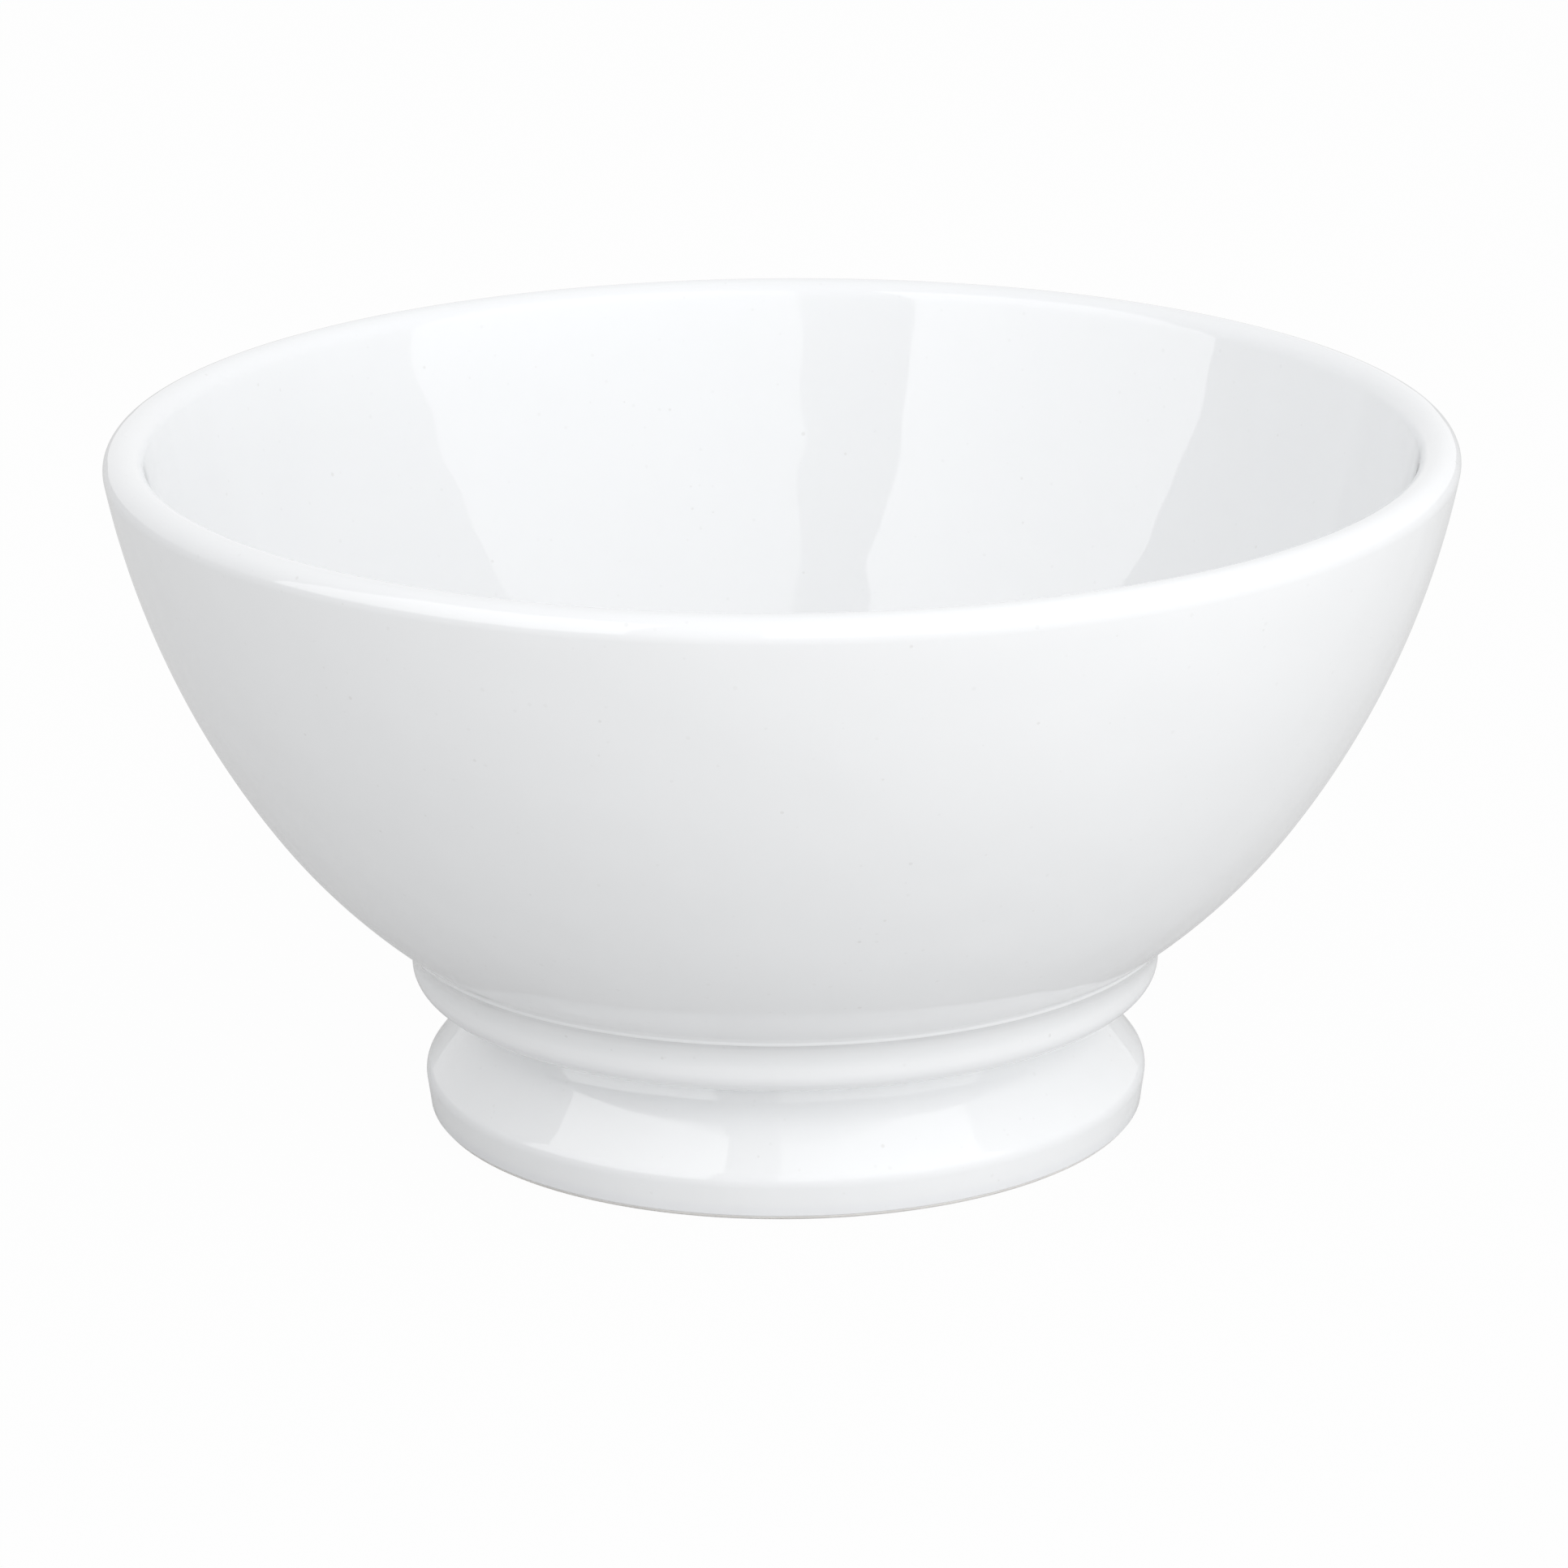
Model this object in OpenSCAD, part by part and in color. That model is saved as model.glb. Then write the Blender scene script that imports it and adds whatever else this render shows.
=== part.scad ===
// Latte bowl: a wide porcelain bowl on a hollow pedestal foot.
// Bowl and foot are formed apart, luted together with a film of slip and glazed all over,
// except for the ring that the bowl stands on, which is wiped bare.
// Every piece is a solid of revolution. Sizes are those of the finished, glazed bowl in millimetres.
// The origin is the centre of the standing ring, on the table.

/* [Bowl] */
// Diameter across the rim
rim_d = 150; // [138:1:162]
// Height of the lip above the table
bowl_h = 78; // [70:1:86]
// Thickness of the wall, which the lip rounds over
wall_t = 4.6; // [3.6:0.1:5.6]
// Lean of the wall just below the lip, from the vertical
rim_lean_angle = 10.5; // [6:0.5:15]
// Share of the wall's chord that the tangent of its flatter upper curve takes
upper_share = 0.345; // [0.28:0.005:0.4]
// Slope of the bowl's underside where the foot's collar meets it, from the horizontal
joint_slope_angle = 36.3; // [32:0.1:40]

/* [Foot] */
// Diameter of the joint between the bowl's underside and the foot's collar
joint_d = 87; // [80:0.5:94]
// Height of the joint above the table
joint_h = 21.6; // [19:0.1:25]
// Height of the collar, from the joint down to its lower edge
collar_h = 6.4; // [5.6:0.1:7.2]
// How far the collar draws in below the joint
collar_inset = 1.3; // [0.8:0.1:2]
// Height over which the collar draws in
flare_h = 2.6; // [2:0.1:3]
// Depth of the groove that undercuts the collar
groove_depth = 7.4; // [5.5:0.1:8.5]
// Thickness of the collar where the groove ends
web_t = 1.7; // [1.2:0.1:2.2]
// Height of the neck at the bottom of the groove
neck_h = 2.5; // [2:0.1:3.5]
// How far the neck spreads from its top to its foot
neck_flare = 0.7; // [0.3:0.1:1.2]
// Thickness of the neck, from the groove to the recess under the bowl
neck_t = 4.6; // [3.5:0.1:6]
// How far the arris of the foot ring stays inside the collar
arris_inset = 1.25; // [0.5:0.05:2.5]
// Height of the arris, where the ring's conical top turns down, above the table
arris_h = 4.8; // [4:0.1:6]
// How far the band below the arris draws in towards the table
band_inset = 0.65; // [0.2:0.05:1]
// Width of the ring that the bowl stands on, edges included
ring_w = 6.3; // [5:0.1:8]

/* [Roundings] */
// Radius of the collar's concave flare
flare_r = 4; // [2:0.5:5]
// Radius of the collar's lower edge
collar_edge_r = 2.4; // [1:0.1:2.6]
// Radius at the top of the neck
neck_top_r = 0.8; // [0.5:0.1:1.2]
// Radius at the foot of the neck
neck_foot_r = 4.5; // [1:0.5:6]
// Radius of the arris
arris_r = 2.3; // [1:0.1:3]
// Radius of the outer edge of the standing ring
ring_outer_r = 0.6; // [0.4:0.1:2]
// Radius of the inner edge of the standing ring
ring_inner_r = 1; // [0.5:0.1:2]

/* [Slip and glaze] */
// Thickness of the glaze
glaze_t = 0.2; // [0.15:0.01:0.3]
// Thickness of the film of slip between bowl and foot
slip_t = 0.14; // [0.1:0.01:0.26]
// How far the bead of slip, pressed out at the joint, laps over the wall and the collar
bead_lap = 0.03; // [0.02:0.01:0.15]
// Radius of the cove of slip wiped along the joint inside the recess
cove_r = 2.5; // [1.5:0.1:3.5]

/* [Hidden] */

// Largest distance between an arc and the chords that draw it
arc_tol = 0.01;
// Facets of a solid, once round the axis
turn_facets = 240;

// Outlines lie in the half plane of radius and height. They run with the clay on their right-hand side,
// and a depth d is measured into it from the glazed surface: 0 is the glaze and glaze_t the clay below.
// A face is named by its outward bearing, an angle from the radial direction.

// Unit vector on a bearing
function dir(a) = [cos(a), sin(a)];
function unit(v) = v / norm(v);
function bearing(v) = atan2(v[1], v[0]);
// An angle brought between -180 and 180 degrees
function wrap(a) = (a + 900) % 360 - 180;
function tail(points) = [for (i = [1:len(points) - 1]) points[i]];
function head(points) = [for (i = [0:len(points) - 2]) points[i]];
function flip(points) = [for (i = [len(points) - 1:-1:0]) points[i]];

// Points of the arc of radius r about c from bearing a0 to bearing a1
function arc(c, r, a0, a1) =
    let (n = max(1, ceil(abs(a1 - a0) / (2 * acos(1 - arc_tol / r)))))
    [for (i = [0:n]) c + r * dir(a0 + (a1 - a0) * i / n)];

// The arc of radius r that rounds the corner p between the points a and b
function rounded(a, p, b, r) =
    let (
        u = unit(a - p),
        v = unit(b - p),
        half = acos(u * v) / 2,
        c = p + unit(u + v) * r / sin(half),
        a0 = bearing(p + u * r / tan(half) - c),
        a1 = bearing(p + v * r / tan(half) - c)
    )
    arc(c, r, a0, a0 + wrap(a1 - a0));

// The point at depth d1 under the face a1 through p and at depth d2 under the face a2 through p
function sunk(p, a1, d1, a2, d2) =
    let (k = cos(a1 - a2))
    p + ((k * d2 - d1) * dir(a1) + (k * d1 - d2) * dir(a2)) / (1 - k * k);

// Distance from p along bearing a to the circle of radius r about c, which it leaves (side 1) or enters (-1)
function reach(p, a, c, r, side) =
    let (q = p - c, along = q * dir(a))
    side * sqrt(along * along - q * q + r * r) - along;

// Radius of the arc that leaves p squarely to bearing a, bends away from it and passes through q
function bend_radius(p, a, q) = (q - p) * (q - p) / (-2 * ((q - p) * dir(a)));

// Lip: a half round as wide as the wall
lip_r = wall_t / 2;
lip_c = [rim_d / 2 - lip_r, bowl_h - lip_r];
lip_a = -rim_lean_angle;
wall_top = lip_c + lip_r * dir(lip_a);

// Wall: two arcs that meet smoothly, from below the lip to the joint
joint = [joint_d / 2, joint_h];
joint_a = joint_slope_angle - 90;
chord = joint - wall_top;
top_run = dir(lip_a - 90);
end_run = dir(joint_a - 90);
top_l = upper_share * norm(chord);
end_l = (chord * chord / 2 - top_l * (chord * top_run)) / (chord * end_run + top_l * (1 - top_run * end_run));
meet = (end_l * (wall_top + top_l * top_run) + top_l * (joint - end_l * end_run)) / (top_l + end_l);
upper_r = bend_radius(wall_top, lip_a, meet);
upper_c = wall_top - upper_r * dir(lip_a);
lower_r = bend_radius(joint, joint_a, meet);
lower_c = joint - lower_r * dir(joint_a);
meet_a = bearing(meet - upper_c);

// Floor: one arc about a point on the axis, smooth with the wall at the joint
floor_r = joint_d / 2 / cos(joint_a);
floor_c = [0, joint_h - floor_r * sin(joint_a)];

// Foot, outside: the corners of the glazed outline, from the joint down to the table
collar_d = joint_d - 2 * collar_inset;
neck_d = collar_d - 2 * groove_depth;
arris_d = collar_d - 2 * arris_inset;
base_d = arris_d - 2 * band_inset;
neck_top_h = floor_c[1] - sqrt(floor_r * floor_r - neck_d * neck_d / 4) - web_t;
corners = [
    joint,
    [collar_d / 2, joint_h - flare_h],
    [collar_d / 2, joint_h - collar_h],
    [neck_d / 2, neck_top_h],
    [neck_d / 2 + neck_flare, neck_top_h - neck_h],
    [arris_d / 2, arris_h],
    [base_d / 2, 0]
];
corner_r = [0, flare_r, collar_edge_r, neck_top_r, neck_foot_r, arris_r];
last = len(corners) - 1;
runs = [for (i = [0:last - 1]) bearing(corners[i + 1] - corners[i])];
collar_a = runs[0];
band_a = runs[last - 1] + 90;

// Foot, standing ring: bare clay, flat on the table
base_corner = sunk(corners[last], band_a, glaze_t, -90, 0);
ring_in = [base_d / 2 - ring_w, 0];
recess_top = [neck_d / 2 - neck_t, neck_top_h];
recess_a = bearing(recess_top - ring_in);
hollow_a = recess_a + 90;
ring_outer = rounded(corners[last - 1] - glaze_t * dir(band_a), base_corner, ring_in, ring_outer_r);
ring_inner = rounded(base_corner, ring_in, recess_top, ring_inner_r);

// Slip: a film under the bowl, a bead at the collar and a cove in the recess
clay_r = floor_r - glaze_t;
seat_r = clay_r + slip_t;
bead_c = sunk(joint, joint_a, glaze_t - slip_t / 2, collar_a + 90, glaze_t);
film_end = reach(bead_c, collar_a, floor_c, seat_r, 1);
wall_end = norm(floor_c + clay_r * dir(joint_a) - bead_c);
bead_r = max(film_end, wall_end) + bead_lap;
cove_side = ring_in + cove_r * dir(hollow_a);
cove_c = cove_side + reach(cove_side, recess_a, floor_c, clay_r + cove_r, -1) * dir(recess_a);
cove_a = bearing(cove_c - floor_c);
cove_turn = wrap(cove_a + 180 - (hollow_a - 180));
seat_out = bead_c + film_end * dir(collar_a);
seat_in = ring_in + reach(ring_in, recess_a, floor_c, seat_r, -1) * dir(recess_a);

// Inside of the bowl at depth d, from the axis up to the lip
function inside(d) = concat(
    arc(floor_c, floor_r - wall_t + d, -90, joint_a),
    tail(arc(lower_c, lower_r - wall_t + d, joint_a, meet_a)),
    tail(arc(upper_c, upper_r - wall_t + d, meet_a, lip_a))
);

// Over the lip at depth d
function lip(d) = tail(arc(lip_c, lip_r - d, lip_a + 180, lip_a));

// The bead at depth d, from the wall to the collar
function bead(d) =
    let (r = bead_r + glaze_t - d)
    arc(
        bead_c,
        r,
        joint_a + 90 + asin((slip_t / 2 - glaze_t + d) / r),
        collar_a + asin((glaze_t - d) / r)
    );

// Down the outside of the wall at depth d, from the lip to the bead's first point
function outside(d) =
    let (end = bead(d)[0])
    concat(
        tail(arc(upper_c, upper_r - d, lip_a, meet_a)),
        head(tail(arc(lower_c, lower_r - d, meet_a, bearing(end - lower_c)))),
        [end]
    );

// Down the outside of the foot at depth d, from the collar to where the glaze ends
function foot_side(d) =
    let (
        p = concat(
            [corners[0] - d * dir(runs[0] + 90)],
            [for (i = [1:last - 1]) sunk(corners[i], runs[i - 1] + 90, d, runs[i] + 90, d)],
            [corners[last] - d * dir(band_a)]
        )
    )
    concat(
        [
            for (i = [1:last - 1])
                let (hollow = wrap(runs[i] - runs[i - 1]) > 0)
                for (q = rounded(p[i - 1], p[i], p[i + 1], corner_r[i] + (hollow ? d : -d))) q
        ],
        [ring_outer[0] + (glaze_t - d) * dir(band_a)]
    );

// The whole glazed skin at depth d, from the axis inside the bowl to the foot's bare ring
function skin(d) = concat(inside(d), lip(d), outside(d), tail(bead(d)), foot_side(d));

// Up the recess under the bowl at depth d, from the bare ring to the axis
function recess(d) = concat(
    [ring_inner[len(ring_inner) - 1] + (glaze_t - d) * dir(hollow_a)],
    arc(cove_c, cove_r - glaze_t + d, hollow_a - 180, hollow_a - 180 + cove_turn),
    tail(arc(floor_c, floor_r - d, cove_a, -90))
);

// Along the clay underside from the joint in to the cove, and along the foot's seat
under_film = arc(floor_c, clay_r, joint_a, cove_a);
cove = arc(cove_c, cove_r, hollow_a - 180, hollow_a - 180 + cove_turn);
seat = arc(floor_c, seat_r, bearing(seat_out - floor_c), bearing(seat_in - floor_c));

// A solid turned about the axis from its outline
module turned(outline) {
    rotate_extrude($fn = turn_facets)
        polygon(outline);
}

// The jiggered porcelain bowl, with no foot
module bowl_body() {
    color("#ece8e0")
        turned(concat(
            inside(glaze_t),
            lip(glaze_t),
            outside(glaze_t),
            under_film,
            tail(arc(floor_c, clay_r, cove_a, -90))
        ));
}

// The hollow foot: collar, undercut groove, conical ring top, arris, band and standing ring
module pedestal_foot() {
    color("#e6e1d6")
        turned(concat(
            [seat_out, bead(glaze_t)[len(bead(glaze_t)) - 1]],
            head(foot_side(glaze_t)),
            ring_outer,
            ring_inner,
            [cove[0]],
            tail(flip(seat))
        ));
}

// The slip that joins them
module luting_slip() {
    color("#d9d2c4")
        turned(concat(bead(glaze_t), seat, cove, tail(flip(under_film))));
}

// The glaze over the inside, the lip, the outside and the foot
module glaze_coat() {
    color("#f7f8f9")
        turned(concat(skin(0), flip(skin(glaze_t))));
}

// The glaze inside the recess
module recess_glaze() {
    color("#f3f4f5")
        turned(concat(recess(0), flip(recess(glaze_t))));
}

bowl_body();
pedestal_foot();
luting_slip();
glaze_coat();
recess_glaze();
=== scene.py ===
"""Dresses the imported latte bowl: its glaze, bare standing ring and studio, around the fixed frame."""

import math

import bpy
import numpy as np
from mathutils import Matrix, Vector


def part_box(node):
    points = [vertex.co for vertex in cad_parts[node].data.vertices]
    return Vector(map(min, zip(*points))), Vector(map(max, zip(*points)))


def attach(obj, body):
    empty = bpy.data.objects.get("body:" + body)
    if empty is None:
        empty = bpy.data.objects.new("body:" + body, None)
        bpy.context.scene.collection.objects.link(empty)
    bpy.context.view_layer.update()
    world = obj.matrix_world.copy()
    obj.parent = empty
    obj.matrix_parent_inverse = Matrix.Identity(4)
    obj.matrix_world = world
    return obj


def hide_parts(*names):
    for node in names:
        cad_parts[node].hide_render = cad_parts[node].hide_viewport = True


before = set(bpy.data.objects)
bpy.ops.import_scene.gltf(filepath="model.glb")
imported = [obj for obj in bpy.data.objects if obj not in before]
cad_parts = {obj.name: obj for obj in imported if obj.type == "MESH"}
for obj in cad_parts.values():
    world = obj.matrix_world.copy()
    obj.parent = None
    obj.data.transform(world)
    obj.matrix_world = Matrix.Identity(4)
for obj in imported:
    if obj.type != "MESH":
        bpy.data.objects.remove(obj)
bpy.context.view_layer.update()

bl_info = {
    "name": "Latte bowl",
    "version": (1, 0, 0),
    "blender": (4, 5, 0),
    "location": "3D View > Sidebar > Bowl",
    "description": "Makes a glazed porcelain latte bowl on a pedestal foot, and its studio",
    "category": "Add Mesh",
}

MM = 0.001
BODY = "root"
IMAGE_SIDE = 1932
SENSOR = 36.0
FACETS_ROUND = 340
SPACING = 2.0 * MM
BELL = 0.8 * MM
RECESS_WAVES = 1.6
FLOOR_SIDE = 12.0
FLOOR_DROP = 0.02 * MM
FLOOR_GREY = 0.62

RIM_D = round(2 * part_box("glaze_coat")[1].x / MM, 1)
BOWL_H = round(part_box("glaze_coat")[1].z / MM, 1)


def length(name, description, mm):
    """A size of the bowl, written in millimetres and kept in metres."""
    return bpy.props.FloatProperty(
        name=name, description=description, default=mm * MM, min=0, precision=5, unit="LENGTH"
    )


def slope(name, description, degrees):
    """An angle of the bowl's section, written in degrees."""
    return bpy.props.FloatProperty(
        name=name, description=description, default=math.radians(degrees), subtype="ANGLE"
    )


class BowlSizes(bpy.types.PropertyGroup):
    """Sizes of the finished bowl, as its construction has them."""

    rim_d: length("Rim", "Diameter across the rim", RIM_D)
    bowl_h: length("Height", "Height of the lip", BOWL_H)
    wall_t: length("Wall", "Thickness of the wall", 4.6)
    rim_lean: slope("Rim lean", "Lean of the wall below the lip, from the vertical", 10.5)
    upper_share: bpy.props.FloatProperty(
        name="Upper curve", description="Share of the wall's chord that the upper curve's tangent takes",
        default=0.345, subtype="FACTOR",
    )
    joint_slope: slope("Joint slope", "Slope of the underside at the foot's collar", 36.3)
    joint_d: length("Joint", "Diameter of the joint with the foot", 87.0)
    joint_h: length("Joint height", "Height of the joint", 21.6)


class FootSizes(bpy.types.PropertyGroup):
    """Sizes of the foot, the slip and the glaze, as their construction has them."""

    collar_h: length("Collar", "Height of the collar", 6.4)
    collar_inset: length("Collar inset", "How far the collar draws in", 1.3)
    flare_h: length("Flare", "Height over which the collar draws in", 2.6)
    groove_depth: length("Groove", "Depth of the groove", 7.4)
    web_t: length("Web", "Thickness of the collar over the groove", 1.7)
    neck_h: length("Neck", "Height of the neck in the groove", 2.5)
    neck_flare: length("Neck flare", "Spread of the neck", 0.7)
    neck_t: length("Neck wall", "Thickness of the neck", 4.6)
    arris_inset: length("Arris inset", "Arris inside the collar", 1.25)
    arris_h: length("Arris height", "Height of the arris", 4.8)
    band_inset: length("Band", "Draw of the band below the arris", 0.65)
    ring_w: length("Standing ring", "Width of the standing ring", 6.3)
    flare_r: length("Flare radius", "Radius of the flare", 4.0)
    collar_edge_r: length("Collar edge", "Radius of the lower edge", 2.4)
    neck_top_r: length("Neck top", "Radius at the neck's top", 0.8)
    neck_foot_r: length("Neck foot", "Radius at the neck's foot", 4.5)
    arris_r: length("Arris radius", "Radius of the arris", 2.3)
    ring_outer_r: length("Ring outer", "Outer edge of the ring", 0.6)
    ring_inner_r: length("Ring inner", "Inner edge of the ring", 1.0)
    glaze_t: length("Glaze", "Thickness of the glaze", 0.2)
    slip_t: length("Slip", "Thickness of the film of slip", 0.14)
    bead_lap: length("Bead", "How far the pressed-out bead laps over the wall and the collar", 0.03)
    cove_r: length("Cove", "Radius of the cove in the recess", 2.5)
    glazed_tol: length("Glazed chords", "Largest gap between a glazed arc and its chords", 0.0032)
    hidden_tol: length("Hidden chords", "Largest gap between a hidden arc and its chords", 0.04)


class GlazeLook(bpy.types.PropertyGroup):
    """Colours and finish of the glaze and of the bare clay."""

    glaze: bpy.props.FloatVectorProperty(
        name="Glaze", description="Colour of the white glaze", subtype="COLOR", size=3,
        default=(0.851, 0.86, 0.87),
    )
    # A darker, cooler colour mixed into the glaze where the outline curves into a hollow.
    hollow_tone: bpy.props.FloatVectorProperty(
        name="Hollows", description="Colour where the glaze lies thick", subtype="COLOR", size=3,
        default=(0.825, 0.84, 0.851),
    )
    # Painted shade: a greyer colour mixed in on edges, most of all on the lip, to darken where the light
    # falls bright.
    shaded: bpy.props.FloatVectorProperty(
        name="Shaded", description="Colour where the glaze runs thin over an edge", subtype="COLOR", size=3,
        default=(0.838, 0.848, 0.864),
    )
    speck: bpy.props.FloatVectorProperty(
        name="Speck", description="Colour of the specks and pinholes", subtype="COLOR", size=3,
        default=(0.4, 0.38, 0.35),
    )
    clay: bpy.props.FloatVectorProperty(
        name="Clay", description="Colour of the bare fired clay", subtype="COLOR", size=3,
        default=(0.86, 0.845, 0.82),
    )
    gloss: bpy.props.FloatProperty(
        name="Roughness", description="Roughness of the glaze", default=0.035, min=0, max=1,
        subtype="FACTOR",
    )


class Studio(bpy.types.PropertyGroup):
    """Camera, floor and soft lights."""

    distance: bpy.props.FloatProperty(
        name="Distance", description="Camera to the axis", default=0.75, unit="LENGTH"
    )
    height: bpy.props.FloatProperty(
        name="Height", description="Camera above the table", default=0.27425, unit="LENGTH"
    )
    pitch: bpy.props.FloatProperty(
        name="Pitch", description="Camera looks down by", subtype="ANGLE", default=math.radians(17.55)
    )
    roll: bpy.props.FloatProperty(
        name="Roll", description="Camera turned about its view", subtype="ANGLE",
        default=math.radians(-0.38),
    )
    focal: bpy.props.FloatProperty(
        name="Focal length", description="In pixels of the photograph", default=8615.2, subtype="PIXEL"
    )
    ambient: bpy.props.FloatProperty(name="Room", description="Brightness of the room", default=0.821)
    right: bpy.props.FloatProperty(
        name="Right softbox", description="Brightness added to the room's", default=0.976
    )
    left: bpy.props.FloatProperty(
        name="Left softbox", description="Brightness added to the room's", default=0.272
    )
    left_card: bpy.props.FloatProperty(
        name="Left card", description="Brightness that only the gloss shows, before the left softbox",
        default=1.288,
    )
    fill: bpy.props.FloatProperty(
        name="Low fill", description="Brightness that the gloss doesn't show", default=2.29
    )


SETTINGS = {"bowl_sizes": BowlSizes, "foot_sizes": FootSizes, "glaze_look": GlazeLook, "studio": Studio}


def heading(angle):
    """Unit vector in the half plane of radius and height, at an angle in degrees from the radius."""
    a = np.radians(angle)
    return np.stack([np.cos(a), np.sin(a)], -1)


def bearing(v):
    """Angle in degrees of a vector in the half plane."""
    return math.degrees(math.atan2(v[1], v[0]))


def wrap(angle):
    """An angle brought between -180 and 180 degrees."""
    return (angle + 180) % 360 - 180


def arc(c, r, a0, a1, tol):
    """Points at distance r from c, at equal steps of angle from a0 to a1, chords within tol of the arc."""
    n = max(2, math.ceil(abs(a1 - a0) / math.degrees(2 * math.acos(1 - min(tol / r, 1)))))
    return np.asarray(c) + r * heading(np.linspace(a0, a1, n + 1))


def rounded(a, p, b, r, tol):
    """The arc of radius r that touches the lines p-a and p-b, for the corner p."""
    u, v = (a - p) / np.linalg.norm(a - p), (b - p) / np.linalg.norm(b - p)
    half = math.acos(u @ v) / 2
    c = p + (u + v) / np.linalg.norm(u + v) * r / math.sin(half)
    a0 = bearing(p + u * r / math.tan(half) - c)
    a1 = bearing(p + v * r / math.tan(half) - c)
    return arc(c, r, a0, a0 + wrap(a1 - a0), tol)


def sunk(p, a1, d1, a2, d2):
    """The point at depth d1 under the face of bearing a1 through p and at depth d2 under the face a2."""
    k = math.cos(math.radians(a1 - a2))
    return p + ((k * d2 - d1) * heading(a1) + (k * d1 - d2) * heading(a2)) / (1 - k * k)


def reach(p, a, c, r, side):
    """Distance from p along bearing a to the circle of radius r about c, left (side 1) or entered (-1)."""
    q = p - c
    along = q @ heading(a)
    return side * math.sqrt(along * along - q @ q + r * r) - along


def bend_radius(p, a, q):
    """Radius of the arc that leaves p squarely to bearing a, bends away from it and passes through q."""
    return (q - p) @ (q - p) / (-2 * (q - p) @ heading(a))


class Outline:
    """The bowl's section, worked out as its construction works it out, in metres and degrees.

    Every method gives the outline at depth d below the glazed surface, as points (radius, height)."""

    def __init__(self, b, f):
        self.b, self.f = b, f
        self.lip_r = b.wall_t / 2
        self.lip_c = np.array([b.rim_d / 2 - self.lip_r, b.bowl_h - self.lip_r])
        self.lip_a = -math.degrees(b.rim_lean)
        wall_top = self.lip_c + self.lip_r * heading(self.lip_a)
        self.joint = np.array([b.joint_d / 2, b.joint_h])
        self.joint_a = math.degrees(b.joint_slope) - 90
        self._wall(wall_top)
        self.floor_r = b.joint_d / 2 / math.cos(math.radians(self.joint_a))
        self.floor_c = np.array([0, b.joint_h - self.floor_r * math.sin(math.radians(self.joint_a))])
        self._foot()
        self._slip()

    def _wall(self, wall_top):
        """Two arcs that leave the lip and the joint along their faces and meet smoothly between them."""
        chord = self.joint - wall_top
        top_run, end_run = heading(self.lip_a - 90), heading(self.joint_a - 90)
        top_l = self.b.upper_share * np.linalg.norm(chord)
        end_l = chord @ chord / 2 - top_l * (chord @ top_run)
        end_l = end_l / (chord @ end_run + top_l * (1 - top_run @ end_run))
        meet = end_l * (wall_top + top_l * top_run) + top_l * (self.joint - end_l * end_run)
        meet = meet / (top_l + end_l)
        self.upper_r = bend_radius(wall_top, self.lip_a, meet)
        self.upper_c = wall_top - self.upper_r * heading(self.lip_a)
        self.lower_r = bend_radius(self.joint, self.joint_a, meet)
        self.lower_c = self.joint - self.lower_r * heading(self.joint_a)
        self.meet_a = bearing(meet - self.upper_c)

    def _foot(self):
        """Corners of the foot's outside, from the joint to the table, and the bare standing ring."""
        f = self.f
        collar = self.joint[0] - f.collar_inset
        neck = collar - f.groove_depth
        arris = collar - f.arris_inset
        base = arris - f.band_inset
        neck_top = self.floor_c[1] - math.sqrt(self.floor_r**2 - neck**2) - f.web_t
        self.corners = np.array([
            self.joint,
            (collar, self.joint[1] - f.flare_h),
            (collar, self.joint[1] - f.collar_h),
            (neck, neck_top),
            (neck + f.neck_flare, neck_top - f.neck_h),
            (arris, f.arris_h),
            (base, 0),
        ])
        self.corner_r = (0, f.flare_r, f.collar_edge_r, f.neck_top_r, f.neck_foot_r, f.arris_r)
        self.runs = [bearing(run) for run in np.diff(self.corners, axis=0)]
        self.band_a = self.runs[-1] + 90
        base_corner = sunk(self.corners[-1], self.band_a, f.glaze_t, -90, 0)
        self.ring_in = np.array([base - f.ring_w, 0.0])
        recess_top = np.array([neck - f.neck_t, neck_top])
        self.recess_a = bearing(recess_top - self.ring_in)
        self.hollow_a = self.recess_a + 90
        band_top = self.corners[-2] - f.glaze_t * heading(self.band_a)
        self.ring_outer = rounded(band_top, base_corner, self.ring_in, f.ring_outer_r, f.glazed_tol)
        self.ring_inner = rounded(base_corner, self.ring_in, recess_top, f.ring_inner_r, f.glazed_tol)

    def _slip(self):
        """The bead at the collar, the cove in the recess and the seat between bowl and foot."""
        f = self.f
        self.clay_r = self.floor_r - f.glaze_t
        self.seat_r = self.clay_r + f.slip_t
        mid_film = f.glaze_t - f.slip_t / 2
        self.bead_c = sunk(self.joint, self.joint_a, mid_film, self.runs[0] + 90, f.glaze_t)
        film_end = reach(self.bead_c, self.runs[0], self.floor_c, self.seat_r, 1)
        wall_end = np.linalg.norm(self.floor_c + self.clay_r * heading(self.joint_a) - self.bead_c)
        self.bead_r = max(film_end, wall_end) + f.bead_lap
        side = self.ring_in + f.cove_r * heading(self.hollow_a)
        up = heading(self.recess_a)
        self.cove_c = side + reach(side, self.recess_a, self.floor_c, self.clay_r + f.cove_r, -1) * up
        self.cove_a = bearing(self.cove_c - self.floor_c)
        self.cove_turn = wrap(self.cove_a + 180 - (self.hollow_a - 180))
        out = self.bead_c + film_end * heading(self.runs[0])
        inn = self.ring_in + reach(self.ring_in, self.recess_a, self.floor_c, self.seat_r, -1) * up
        ends = bearing(out - self.floor_c), bearing(inn - self.floor_c)
        self.seat = arc(self.floor_c, self.seat_r, *ends, f.hidden_tol)

    def tol(self, d):
        """Chord tolerance: fine on the glazed surface, coarse on the clay that it hides."""
        return self.f.hidden_tol if d > 0 else self.f.glazed_tol

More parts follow.
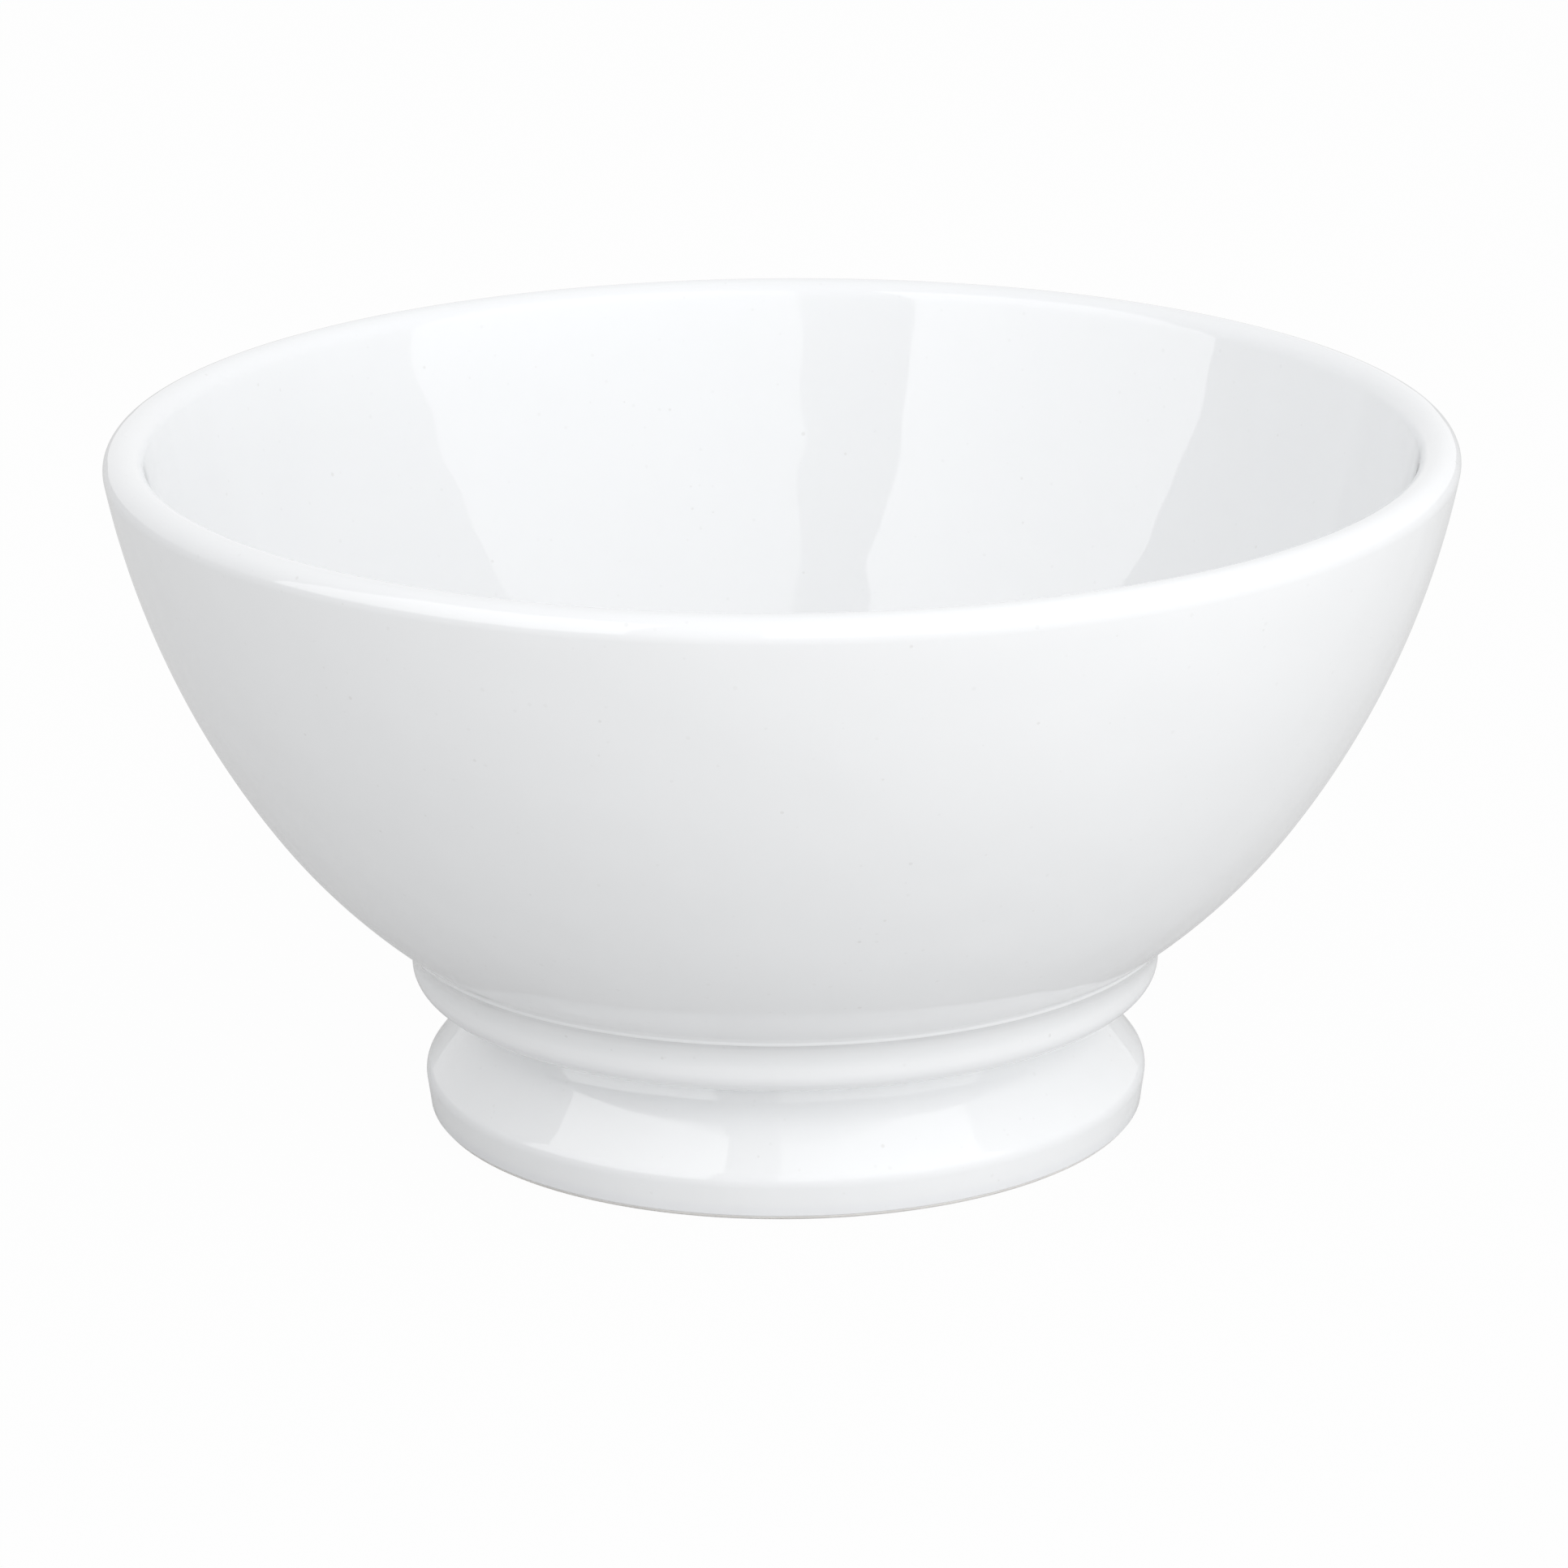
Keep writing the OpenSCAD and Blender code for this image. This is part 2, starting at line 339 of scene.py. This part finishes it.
    def inside(self, d):
        """Three arcs, concentric with the outside's, from the axis up to the lip."""
        t, tol = self.b.wall_t, self.tol(d)
        return np.concatenate([
            arc(self.floor_c, self.floor_r - t + d, -90, self.joint_a, tol),
            arc(self.lower_c, self.lower_r - t + d, self.joint_a, self.meet_a, tol)[1:],
            arc(self.upper_c, self.upper_r - t + d, self.meet_a, self.lip_a, tol)[1:],
        ])

    def lip(self, d):
        """A half circle over the wall's top."""
        return arc(self.lip_c, self.lip_r - d, self.lip_a + 180, self.lip_a, self.tol(d))[1:]

    def bead(self, d):
        """The arc of the slip's bead that shows between wall and collar."""
        f = self.f
        r = self.bead_r + f.glaze_t - d
        start = self.joint_a + 90 + math.degrees(math.asin((f.slip_t / 2 - f.glaze_t + d) / r))
        end = self.runs[0] + math.degrees(math.asin((f.glaze_t - d) / r))
        return arc(self.bead_c, r, start, end, self.tol(d))

    def outside(self, d):
        """Two arcs from below the lip down to the bead."""
        end, tol = self.bead(d)[0], self.tol(d)
        return np.concatenate([
            arc(self.upper_c, self.upper_r - d, self.lip_a, self.meet_a, tol)[1:],
            arc(self.lower_c, self.lower_r - d, self.meet_a, bearing(end - self.lower_c), tol)[1:-1],
            [end],
        ])

    def foot_side(self, d):
        """The foot's corners sunk by d and rounded, down to where the glaze ends."""
        runs, last = self.runs, len(self.corners) - 1
        p = [self.corners[0] - d * heading(runs[0] + 90)]
        p += [sunk(self.corners[i], runs[i - 1] + 90, d, runs[i] + 90, d) for i in range(1, last)]
        p += [self.corners[last] - d * heading(self.band_a)]
        bends = [math.copysign(d, wrap(runs[i] - runs[i - 1])) for i in range(1, last)]
        arcs = [
            rounded(p[i], p[i + 1], p[i + 2], self.corner_r[i + 1] + bend, self.tol(d))
            for i, bend in enumerate(bends)
        ]
        return np.concatenate(arcs)

    def glaze_end(self):
        """The glaze's rounded end: a quarter circle as wide as the glaze, from its surface to the clay."""
        g = self.f.glaze_t
        centre = self.ring_outer[0] - g * heading(self.runs[-1])
        return arc(centre, g, self.band_a, self.band_a - 90, self.f.glazed_tol)

    def recess_end(self):
        """The same quarter circle at the foot of the recess."""
        g = self.f.glaze_t
        centre = self.ring_inner[-1] + g * heading(self.recess_a)
        return arc(centre, g, self.recess_a + 180, self.hollow_a, self.f.glazed_tol)

    def recess(self, d):
        """Up the cove's arc and along the floor's arc to the axis."""
        start, tol = self.hollow_a - 180, self.tol(d)
        r = self.f.cove_r - self.f.glaze_t + d
        return np.concatenate([
            arc(self.cove_c, r, start, start + self.cove_turn, tol),
            arc(self.floor_c, self.floor_r - d, self.cove_a, -90, tol)[1:],
        ])


def spread(outline, step):
    """Splits each stretch longer than step into equal parts, by interpolating along the outline."""
    run = np.concatenate([[0], np.cumsum(np.linalg.norm(np.diff(outline, axis=0), axis=1))])
    extra = [np.linspace(a, b, math.ceil((b - a) / step) + 1)[:-1] for a, b in zip(run, run[1:])]
    at = np.append(np.concatenate(extra), run[-1])
    return np.stack([np.interp(at, run, outline[:, 0]), np.interp(at, run, outline[:, 1])], 1)


def turn_of(outline):
    """Curvature per mm of an outline about each point: its turns, each spread over a bell of 1.6 mm.

    Positive where the outline bends round the clay, as on an edge, and negative in a hollow."""
    step = np.diff(outline, axis=0)
    run = np.concatenate([[0], np.cumsum(np.linalg.norm(step, axis=1))])
    turn = -np.diff(np.unwrap(np.arctan2(step[:, 1], step[:, 0])))
    bell = np.exp(-(((run[:, None] - run[1:-1]) / BELL) ** 2)) / (math.sqrt(math.pi) * BELL / MM)
    return bell @ turn


def turned(name, outline, bend, closed):
    """A surface of revolution: point (r, z) of the outline turned to (r cos t, r sin t, z), t once round.

    A closed outline joins its end to its start. An open one starts and ends on the axis, in single points."""
    t = np.linspace(0, 2 * np.pi, FACETS_ROUND, endpoint=False)
    rows = outline if closed else outline[1:-1]
    r, z = rows[:, :1], rows[:, 1:]
    co = np.stack([r * np.cos(t), r * np.sin(t), z + 0 * t], -1).reshape(-1, 3)
    n, m = len(rows), FACETS_ROUND
    i = np.arange(n if closed else n - 1)[:, None]
    j = np.arange(m)[None, :]
    i2, j2 = (i + 1) % n, (j + 1) % m
    faces = np.stack([i * m + j, i2 * m + j, i2 * m + j2, i * m + j2], -1).reshape(-1, 4)
    values = np.repeat(bend if closed else bend[1:-1], m)
    loops, sizes = faces.ravel(), np.full(len(faces), 4)
    if not closed:
        first, final = n * m, n * m + 1
        poles = np.zeros((2, 3))
        poles[:, 2] = outline[[0, -1], 1]
        co = np.concatenate([co, poles])
        k, k2 = np.arange(m), (np.arange(m) + 1) % m
        end = (n - 1) * m
        caps = np.concatenate([
            np.stack([k2, np.full(m, first), k], -1),
            np.stack([end + k, np.full(m, final), end + k2], -1),
        ])
        loops = np.concatenate([loops, caps.ravel()])
        sizes = np.concatenate([sizes, np.full(len(caps), 3)])
        values = np.concatenate([values, bend[[0, -1]]])
    mesh = bpy.data.meshes.new(name)
    mesh.vertices.add(len(co))
    mesh.vertices.foreach_set("co", co.ravel())
    mesh.loops.add(len(loops))
    mesh.loops.foreach_set("vertex_index", loops)
    mesh.polygons.add(len(sizes))
    mesh.polygons.foreach_set("loop_start", np.concatenate([[0], np.cumsum(sizes)[:-1]]))
    mesh.polygons.foreach_set("use_smooth", np.ones(len(sizes), bool))
    mesh.update(calc_edges=True)
    mesh.validate()
    mesh.attributes.new("bend", "FLOAT", "POINT").data.foreach_set("value", values)
    piece = bpy.data.objects.new(name, mesh)
    bpy.context.collection.objects.link(piece)
    return piece


def node(tree, kind, **inputs):
    """A shader node with its sockets set by name."""
    made = tree.nodes.new(kind)
    for key, value in inputs.items():
        made.inputs[key.replace("_", " ")].default_value = value
    return made


def rgba(colour):
    """The colour with an alpha of 1, as sockets take it."""
    return (*colour, 1)


def ramp(tree, source, low, high):
    """source from low to high as 0 to 1, eased at both ends and held there."""
    made = node(tree, "ShaderNodeMapRange", From_Min=low, From_Max=high)
    made.interpolation_type = "SMOOTHSTEP"
    tree.links.new(source, made.inputs["Value"])
    return made.outputs["Result"]


def mixed(tree, amount, low, high):
    """The colour between low and high at that amount. low and high are colours or sockets."""
    made = tree.nodes.new("ShaderNodeMix")
    made.data_type = "RGBA"
    tree.links.new(amount, made.inputs["Factor"])
    for name, value in (("A", low), ("B", high)):
        socket = next(s for s in made.inputs if s.name == name and s.type == "RGBA")
        if isinstance(value, bpy.types.NodeSocket):
            tree.links.new(value, socket)
        else:
            socket.default_value = rgba(value)
    return next(s for s in made.outputs if s.type == "RGBA")


def noise(tree, coords, scale, detail):
    """Noise with scale waves to a metre, and finer ones added as detail grows."""
    made = node(tree, "ShaderNodeTexNoise", Scale=scale, Detail=detail)
    tree.links.new(coords, made.inputs["Vector"])
    return made.outputs["Fac"]


def bump(tree, height, depth, below=None):
    """A bump whose height of 1 is depth metres."""
    made = node(tree, "ShaderNodeBump", Strength=1.0, Distance=depth)
    tree.links.new(height, made.inputs["Height"])
    if below is not None:
        tree.links.new(below, made.inputs["Normal"])
    return made.outputs["Normal"]


def scaled(tree, source, factor):
    """source times factor."""
    made = tree.nodes.new("ShaderNodeMath")
    made.operation = "MULTIPLY"
    made.inputs[1].default_value = factor
    tree.links.new(source, made.inputs[0])
    return made.outputs["Value"]


def speckle(tree, coords, scale, left_out, radius):
    """Round soft spots: 1 in a spot and 0 elsewhere.

    scale gives the number of cells to a metre. A cell has one spot at most, of up to radius cells, and the
    share left_out of the cells has none."""
    cells = node(tree, "ShaderNodeTexVoronoi", Scale=scale)
    tree.links.new(coords, cells.inputs["Vector"])
    channels = tree.nodes.new("ShaderNodeSeparateColor")
    tree.links.new(cells.outputs["Color"], channels.inputs["Color"])
    size = node(tree, "ShaderNodeMapRange", From_Min=left_out, From_Max=1.0, To_Min=0.0, To_Max=radius)
    tree.links.new(channels.outputs["Red"], size.inputs["Value"])
    within = tree.nodes.new("ShaderNodeMath")
    within.operation = "SUBTRACT"
    tree.links.new(size.outputs["Result"], within.inputs[0])
    tree.links.new(cells.outputs["Distance"], within.inputs[1])
    return ramp(tree, within.outputs["Value"], low=0.0, high=radius / 2)


def new_material(name):
    """A material with only its Principled shader, and its node tree and shader."""
    material = bpy.data.materials.new(name)
    material.use_nodes = True
    return material, material.node_tree, material.node_tree.nodes["Principled BSDF"]


def glaze_material(name, look, strength=1.0):
    """Glossy white glaze: greyer on edges, which is painted shade, darker and cooler in hollows, with
    faint waves, fine orange peel, specks and small pinholes."""
    material, tree, shader = new_material(name)
    coords = tree.nodes.new("ShaderNodeTexCoord").outputs["Object"]
    attribute = tree.nodes.new("ShaderNodeAttribute")
    attribute.attribute_name = "bend"
    bend = attribute.outputs["Fac"]
    # Painted shade: greyer on edges, where the outline bends round the clay, as on the lip.
    colour = mixed(tree, ramp(tree, bend, low=0.12, high=0.6), look.glaze, look.shaded)
    # Darker and cooler in hollows, where the outline curves into the clay.
    colour = mixed(tree, ramp(tree, bend, low=-0.02, high=-0.5), colour, look.hollow_tone)

    specks = speckle(tree, coords, scale=620.0, left_out=0.4, radius=0.2)
    pinholes = speckle(tree, coords, scale=380.0, left_out=0.5, radius=0.12)
    colour = mixed(tree, scaled(tree, specks, 0.06), colour, look.speck)
    colour = mixed(tree, scaled(tree, pinholes, 0.16), colour, look.speck)
    tree.links.new(colour, shader.inputs["Base Color"])

    waves = bump(tree, noise(tree, coords, scale=70.0, detail=1.0), 0.3 * MM * strength)
    peel = bump(tree, noise(tree, coords, scale=900.0, detail=1.0), 0.0012 * MM * strength, below=waves)
    dents = bump(tree, pinholes, -0.004 * MM, below=peel)
    tree.links.new(dents, shader.inputs["Normal"])
    shader.inputs["Roughness"].default_value = look.gloss
    shader.inputs["IOR"].default_value = 1.5
    return material


def clay_material(name, look):
    """Bare fired porcelain: matt, very slightly mottled, with the fine tooth of wiped clay."""
    material, tree, shader = new_material(name)
    coords = tree.nodes.new("ShaderNodeTexCoord").outputs["Object"]
    darker = tuple(0.94 * c for c in look.clay)
    clouds = ramp(tree, noise(tree, coords, scale=180.0, detail=4.0), low=0.35, high=0.65)
    mottled = mixed(tree, clouds, darker, look.clay)
    tree.links.new(mottled, shader.inputs["Base Color"])
    tooth = bump(tree, noise(tree, coords, scale=3000.0, detail=3.0), 0.02 * MM)
    tree.links.new(tooth, shader.inputs["Normal"])
    shader.inputs["Roughness"].default_value = 0.62
    return material


def dress(piece, material, cad_node):
    """Gives a new piece its material and body, and hides the CAD node that it stands for."""
    piece.data.materials.append(material)
    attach(piece, BODY)
    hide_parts(cad_node)


def outline_of(scene):
    """The section that the scene's sizes give."""
    return Outline(scene.bowl_sizes, scene.foot_sizes)


class MakeGlazeCoat(bpy.types.Operator):
    """Makes the glaze over the inside, the lip, the outside and the foot."""

    bl_idname = "bowl.glaze_coat"
    bl_label = "Glaze coat"

    def execute(self, context):
        section = outline_of(context.scene)
        glaze_t = context.scene.foot_sizes.glaze_t
        skin = spread(np.concatenate([
            section.inside(0), section.lip(0), section.outside(0), section.bead(0)[1:],
            section.foot_side(0), section.glaze_end(),
        ]), SPACING)
        clay = np.concatenate([
            section.inside(glaze_t), section.lip(glaze_t), section.outside(glaze_t),
            section.bead(glaze_t)[1:], section.foot_side(glaze_t),
        ])
        bend = np.concatenate([turn_of(skin), np.zeros(len(clay))])
        piece = turned("glazed_skin", np.concatenate([skin, clay[::-1]]), bend, closed=False)
        material = glaze_material("white glaze", context.scene.glaze_look)
        dress(piece, material, "glaze_coat")
        return {"FINISHED"}


class MakeRecessGlaze(bpy.types.Operator):
    """Makes the glaze in the recess under the bowl."""

    bl_idname = "bowl.recess_glaze"
    bl_label = "Recess glaze"

    def execute(self, context):
        section = outline_of(context.scene)
        glaze_t = context.scene.foot_sizes.glaze_t
        skin = spread(np.concatenate([section.recess_end(), section.recess(0)]), SPACING)
        clay = section.recess(glaze_t)
        bend = np.concatenate([np.zeros(len(clay)), turn_of(skin)])
        piece = turned("glazed_recess", np.concatenate([clay[::-1], skin]), bend, closed=False)
        material = glaze_material("recess glaze", context.scene.glaze_look, RECESS_WAVES)
        dress(piece, material, "recess_glaze")
        return {"FINISHED"}


class MakeFoot(bpy.types.Operator):
    """Makes the clay foot, whose bare ring shows."""

    bl_idname = "bowl.pedestal_foot"
    bl_label = "Pedestal foot"

    def execute(self, context):
        section = outline_of(context.scene)
        glaze_t = context.scene.foot_sizes.glaze_t
        outline = spread(np.concatenate([
            section.seat[:1], section.bead(glaze_t)[-1:], section.foot_side(glaze_t), section.ring_outer,
            section.ring_inner, section.recess(glaze_t)[:1], section.seat[:0:-1],
        ]), SPACING)
        piece = turned("clay_foot", outline, turn_of(outline), closed=True)
        dress(piece, clay_material("bare ring", context.scene.glaze_look), "pedestal_foot")
        return {"FINISHED"}


class FinishClay(bpy.types.Operator):
    """Gives the clay bowl and the slip, which the glaze covers, their fired clay."""

    bl_idname = "bowl.clay"
    bl_label = "Clay bowl and slip"

    def execute(self, context):
        for name in ("bowl_body", "luting_slip"):
            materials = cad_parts[name].data.materials
            materials.clear()
            materials.append(clay_material(name.replace("_", " "), context.scene.glaze_look))
        return {"FINISHED"}


def softbox(name, azimuth, half_angle, distance, low, high, brightness, lit=True, mirrored=True):
    """An even upright rectangle of light that faces the bowl at a distance.

    Azimuth is measured from the camera's side towards the right, half_angle gives the width to each side as
    the bowl sees it, and low and high are heights. Its face adds the brightness, where 1 is white, to what
    is lit and to what the gloss mirrors."""
    a = math.radians(azimuth)
    out, side = np.array([math.sin(a), -math.cos(a), 0]), np.array([math.cos(a), math.sin(a), 0])
    centre = distance * out + np.array([0, 0, (low + high) / 2])
    width = 2 * distance * math.tan(math.radians(half_angle))
    light = bpy.data.lights.new(name, "AREA")
    light.shape = "RECTANGLE"
    light.size, light.size_y = width, high - low
    light.energy = brightness * math.pi * width * (high - low)
    lamp = bpy.data.objects.new(name, light)
    bpy.context.collection.objects.link(lamp)
    up = (0, 0, 1)
    lamp.matrix_world = Matrix([[side[k], up[k], out[k], centre[k]] for k in range(3)] + [[0, 0, 0, 1]])
    lamp.visible_camera = False
    lamp.visible_diffuse, lamp.visible_glossy = lit, mirrored


def whitened(tree, lit, white, surface, camera, gloss):
    """Shows white in place of lit: to the camera by the share camera, and to what gloss and clear pieces
    mirror or let through by the share gloss."""
    path = tree.nodes.new("ShaderNodeLightPath")
    sent = tree.nodes.new("ShaderNodeMath")
    sent.operation = "MAXIMUM"
    tree.links.new(path.outputs["Is Glossy Ray"], sent.inputs[0])
    tree.links.new(path.outputs["Is Transmission Ray"], sent.inputs[1])
    share = tree.nodes.new("ShaderNodeMath")
    share.operation = "ADD"
    tree.links.new(scaled(tree, path.outputs["Is Camera Ray"], camera), share.inputs[0])
    tree.links.new(scaled(tree, sent.outputs["Value"], gloss), share.inputs[1])
    either = tree.nodes.new("ShaderNodeMixShader")
    tree.links.new(share.outputs["Value"], either.inputs[0])
    tree.links.new(lit.outputs[0], either.inputs[1])
    tree.links.new(white.outputs[0], either.inputs[2])
    tree.links.new(either.outputs[0], surface)


def set_world(ambient):
    """An even room, white where the camera sees past the floor and where the gloss mirrors the room."""
    world = bpy.data.worlds.new("room")
    bpy.context.scene.world = world
    world.use_nodes = True
    tree = world.node_tree
    room = tree.nodes["Background"]
    room.inputs["Color"].default_value = (1, 1, 1, 1)
    room.inputs["Strength"].default_value = ambient
    white = node(tree, "ShaderNodeBackground", Color=(1, 1, 1, 1), Strength=1.0)
    surface = tree.nodes["World Output"].inputs["Surface"]
    whitened(tree, room, white, surface, camera=1.0, gloss=1.0)


def add_floor():
    """A white table top, drawn white for the camera and paler for the gloss, that keeps the shadow."""
    half = FLOOR_SIDE / 2
    mesh = bpy.data.meshes.new("floor")
    corners = [(-half, -half, 0), (half, -half, 0), (half, half, 0), (-half, half, 0)]
    mesh.from_pydata(corners, [], [(0, 1, 2, 3)])
    floor = bpy.data.objects.new("floor", mesh)
    bpy.context.collection.objects.link(floor)
    floor.location.z = -FLOOR_DROP
    material, tree, shader = new_material("table top")
    shader.inputs["Base Color"].default_value = rgba((FLOOR_GREY,) * 3)
    shader.inputs["Roughness"].default_value = 0.9
    shader.inputs["Specular IOR Level"].default_value = 0.0
    white = node(tree, "ShaderNodeEmission", Color=(1, 1, 1, 1), Strength=1.0)
    surface = tree.nodes["Material Output"].inputs["Surface"]
    whitened(tree, shader, white, surface, camera=0.97, gloss=0.2)
    mesh.materials.append(material)


def add_camera(studio):
    """The camera in front of the bowl, pitched down and rolled, with no shift."""
    data = bpy.data.cameras.new("camera")
    data.sensor_width = SENSOR
    data.lens = studio.focal / IMAGE_SIDE * SENSOR
    data.clip_start = 0.01
    camera = bpy.data.objects.new("camera", data)
    bpy.context.collection.objects.link(camera)
    sight = np.array([0, math.cos(studio.pitch), -math.sin(studio.pitch)])
    right = np.array([1.0, 0, 0])
    up = np.cross(right, sight)
    x = right * math.cos(studio.roll) + up * math.sin(studio.roll)
    y = -right * math.sin(studio.roll) + up * math.cos(studio.roll)
    at = (0, -studio.distance, studio.height)
    camera.matrix_world = Matrix([[x[k], y[k], -sight[k], at[k]] for k in range(3)] + [[0, 0, 0, 1]])
    bpy.context.scene.camera = camera


class MakeStage(bpy.types.Operator):
    """Sets up the camera, the floor, the room and the softboxes."""

    bl_idname = "bowl.stage"
    bl_label = "Stage"

    def execute(self, context):
        studio = context.scene.studio
        context.scene.view_settings.view_transform = "Standard"
        add_camera(studio)
        add_floor()
        set_world(studio.ambient)
        softbox(
            "right softbox", azimuth=35.3, half_angle=38.8, distance=0.9, low=0.15, high=1.9,
            brightness=studio.right,
        )
        softbox(
            "left softbox", azimuth=-56.5, half_angle=31.5, distance=1.5, low=0.12, high=2.8,
            brightness=studio.left,
        )
        softbox(
            "left card", azimuth=-56.5, half_angle=31.5, distance=1.45, low=0.12, high=2.7,
            brightness=studio.left_card, lit=False,
        )
        softbox(
            "low fill", azimuth=45.0, half_angle=35.0, distance=0.9, low=0.0, high=0.15,
            brightness=studio.fill, mirrored=False,
        )
        return {"FINISHED"}


class BOWL_PT_sidebar(bpy.types.Panel):
    """The bowl's pieces and sizes, in the 3D view's sidebar."""

    bl_label = "Latte bowl"
    bl_idname = "BOWL_PT_sidebar"
    bl_space_type = "VIEW_3D"
    bl_region_type = "UI"
    bl_category = "Bowl"

    def draw(self, context):
        for name, group in SETTINGS.items():
            box = self.layout.box()
            for key in group.__annotations__:
                box.prop(getattr(context.scene, name), key)
        for operator in OPERATORS:
            self.layout.operator(operator.bl_idname)


OPERATORS = (MakeGlazeCoat, MakeRecessGlaze, MakeFoot, FinishClay, MakeStage)
CLASSES = (*SETTINGS.values(), *OPERATORS, BOWL_PT_sidebar)


def register():
    for cls in CLASSES:
        bpy.utils.register_class(cls)
    for name, group in SETTINGS.items():
        setattr(bpy.types.Scene, name, bpy.props.PointerProperty(type=group))


def unregister():
    for name in SETTINGS:
        delattr(bpy.types.Scene, name)
    for cls in reversed(CLASSES):
        bpy.utils.unregister_class(cls)


def main():
    register()
    bpy.ops.bowl.glaze_coat()
    bpy.ops.bowl.recess_glaze()
    bpy.ops.bowl.pedestal_foot()
    bpy.ops.bowl.clay()
    bpy.ops.bowl.stage()


if __name__ == "__main__":
    main()
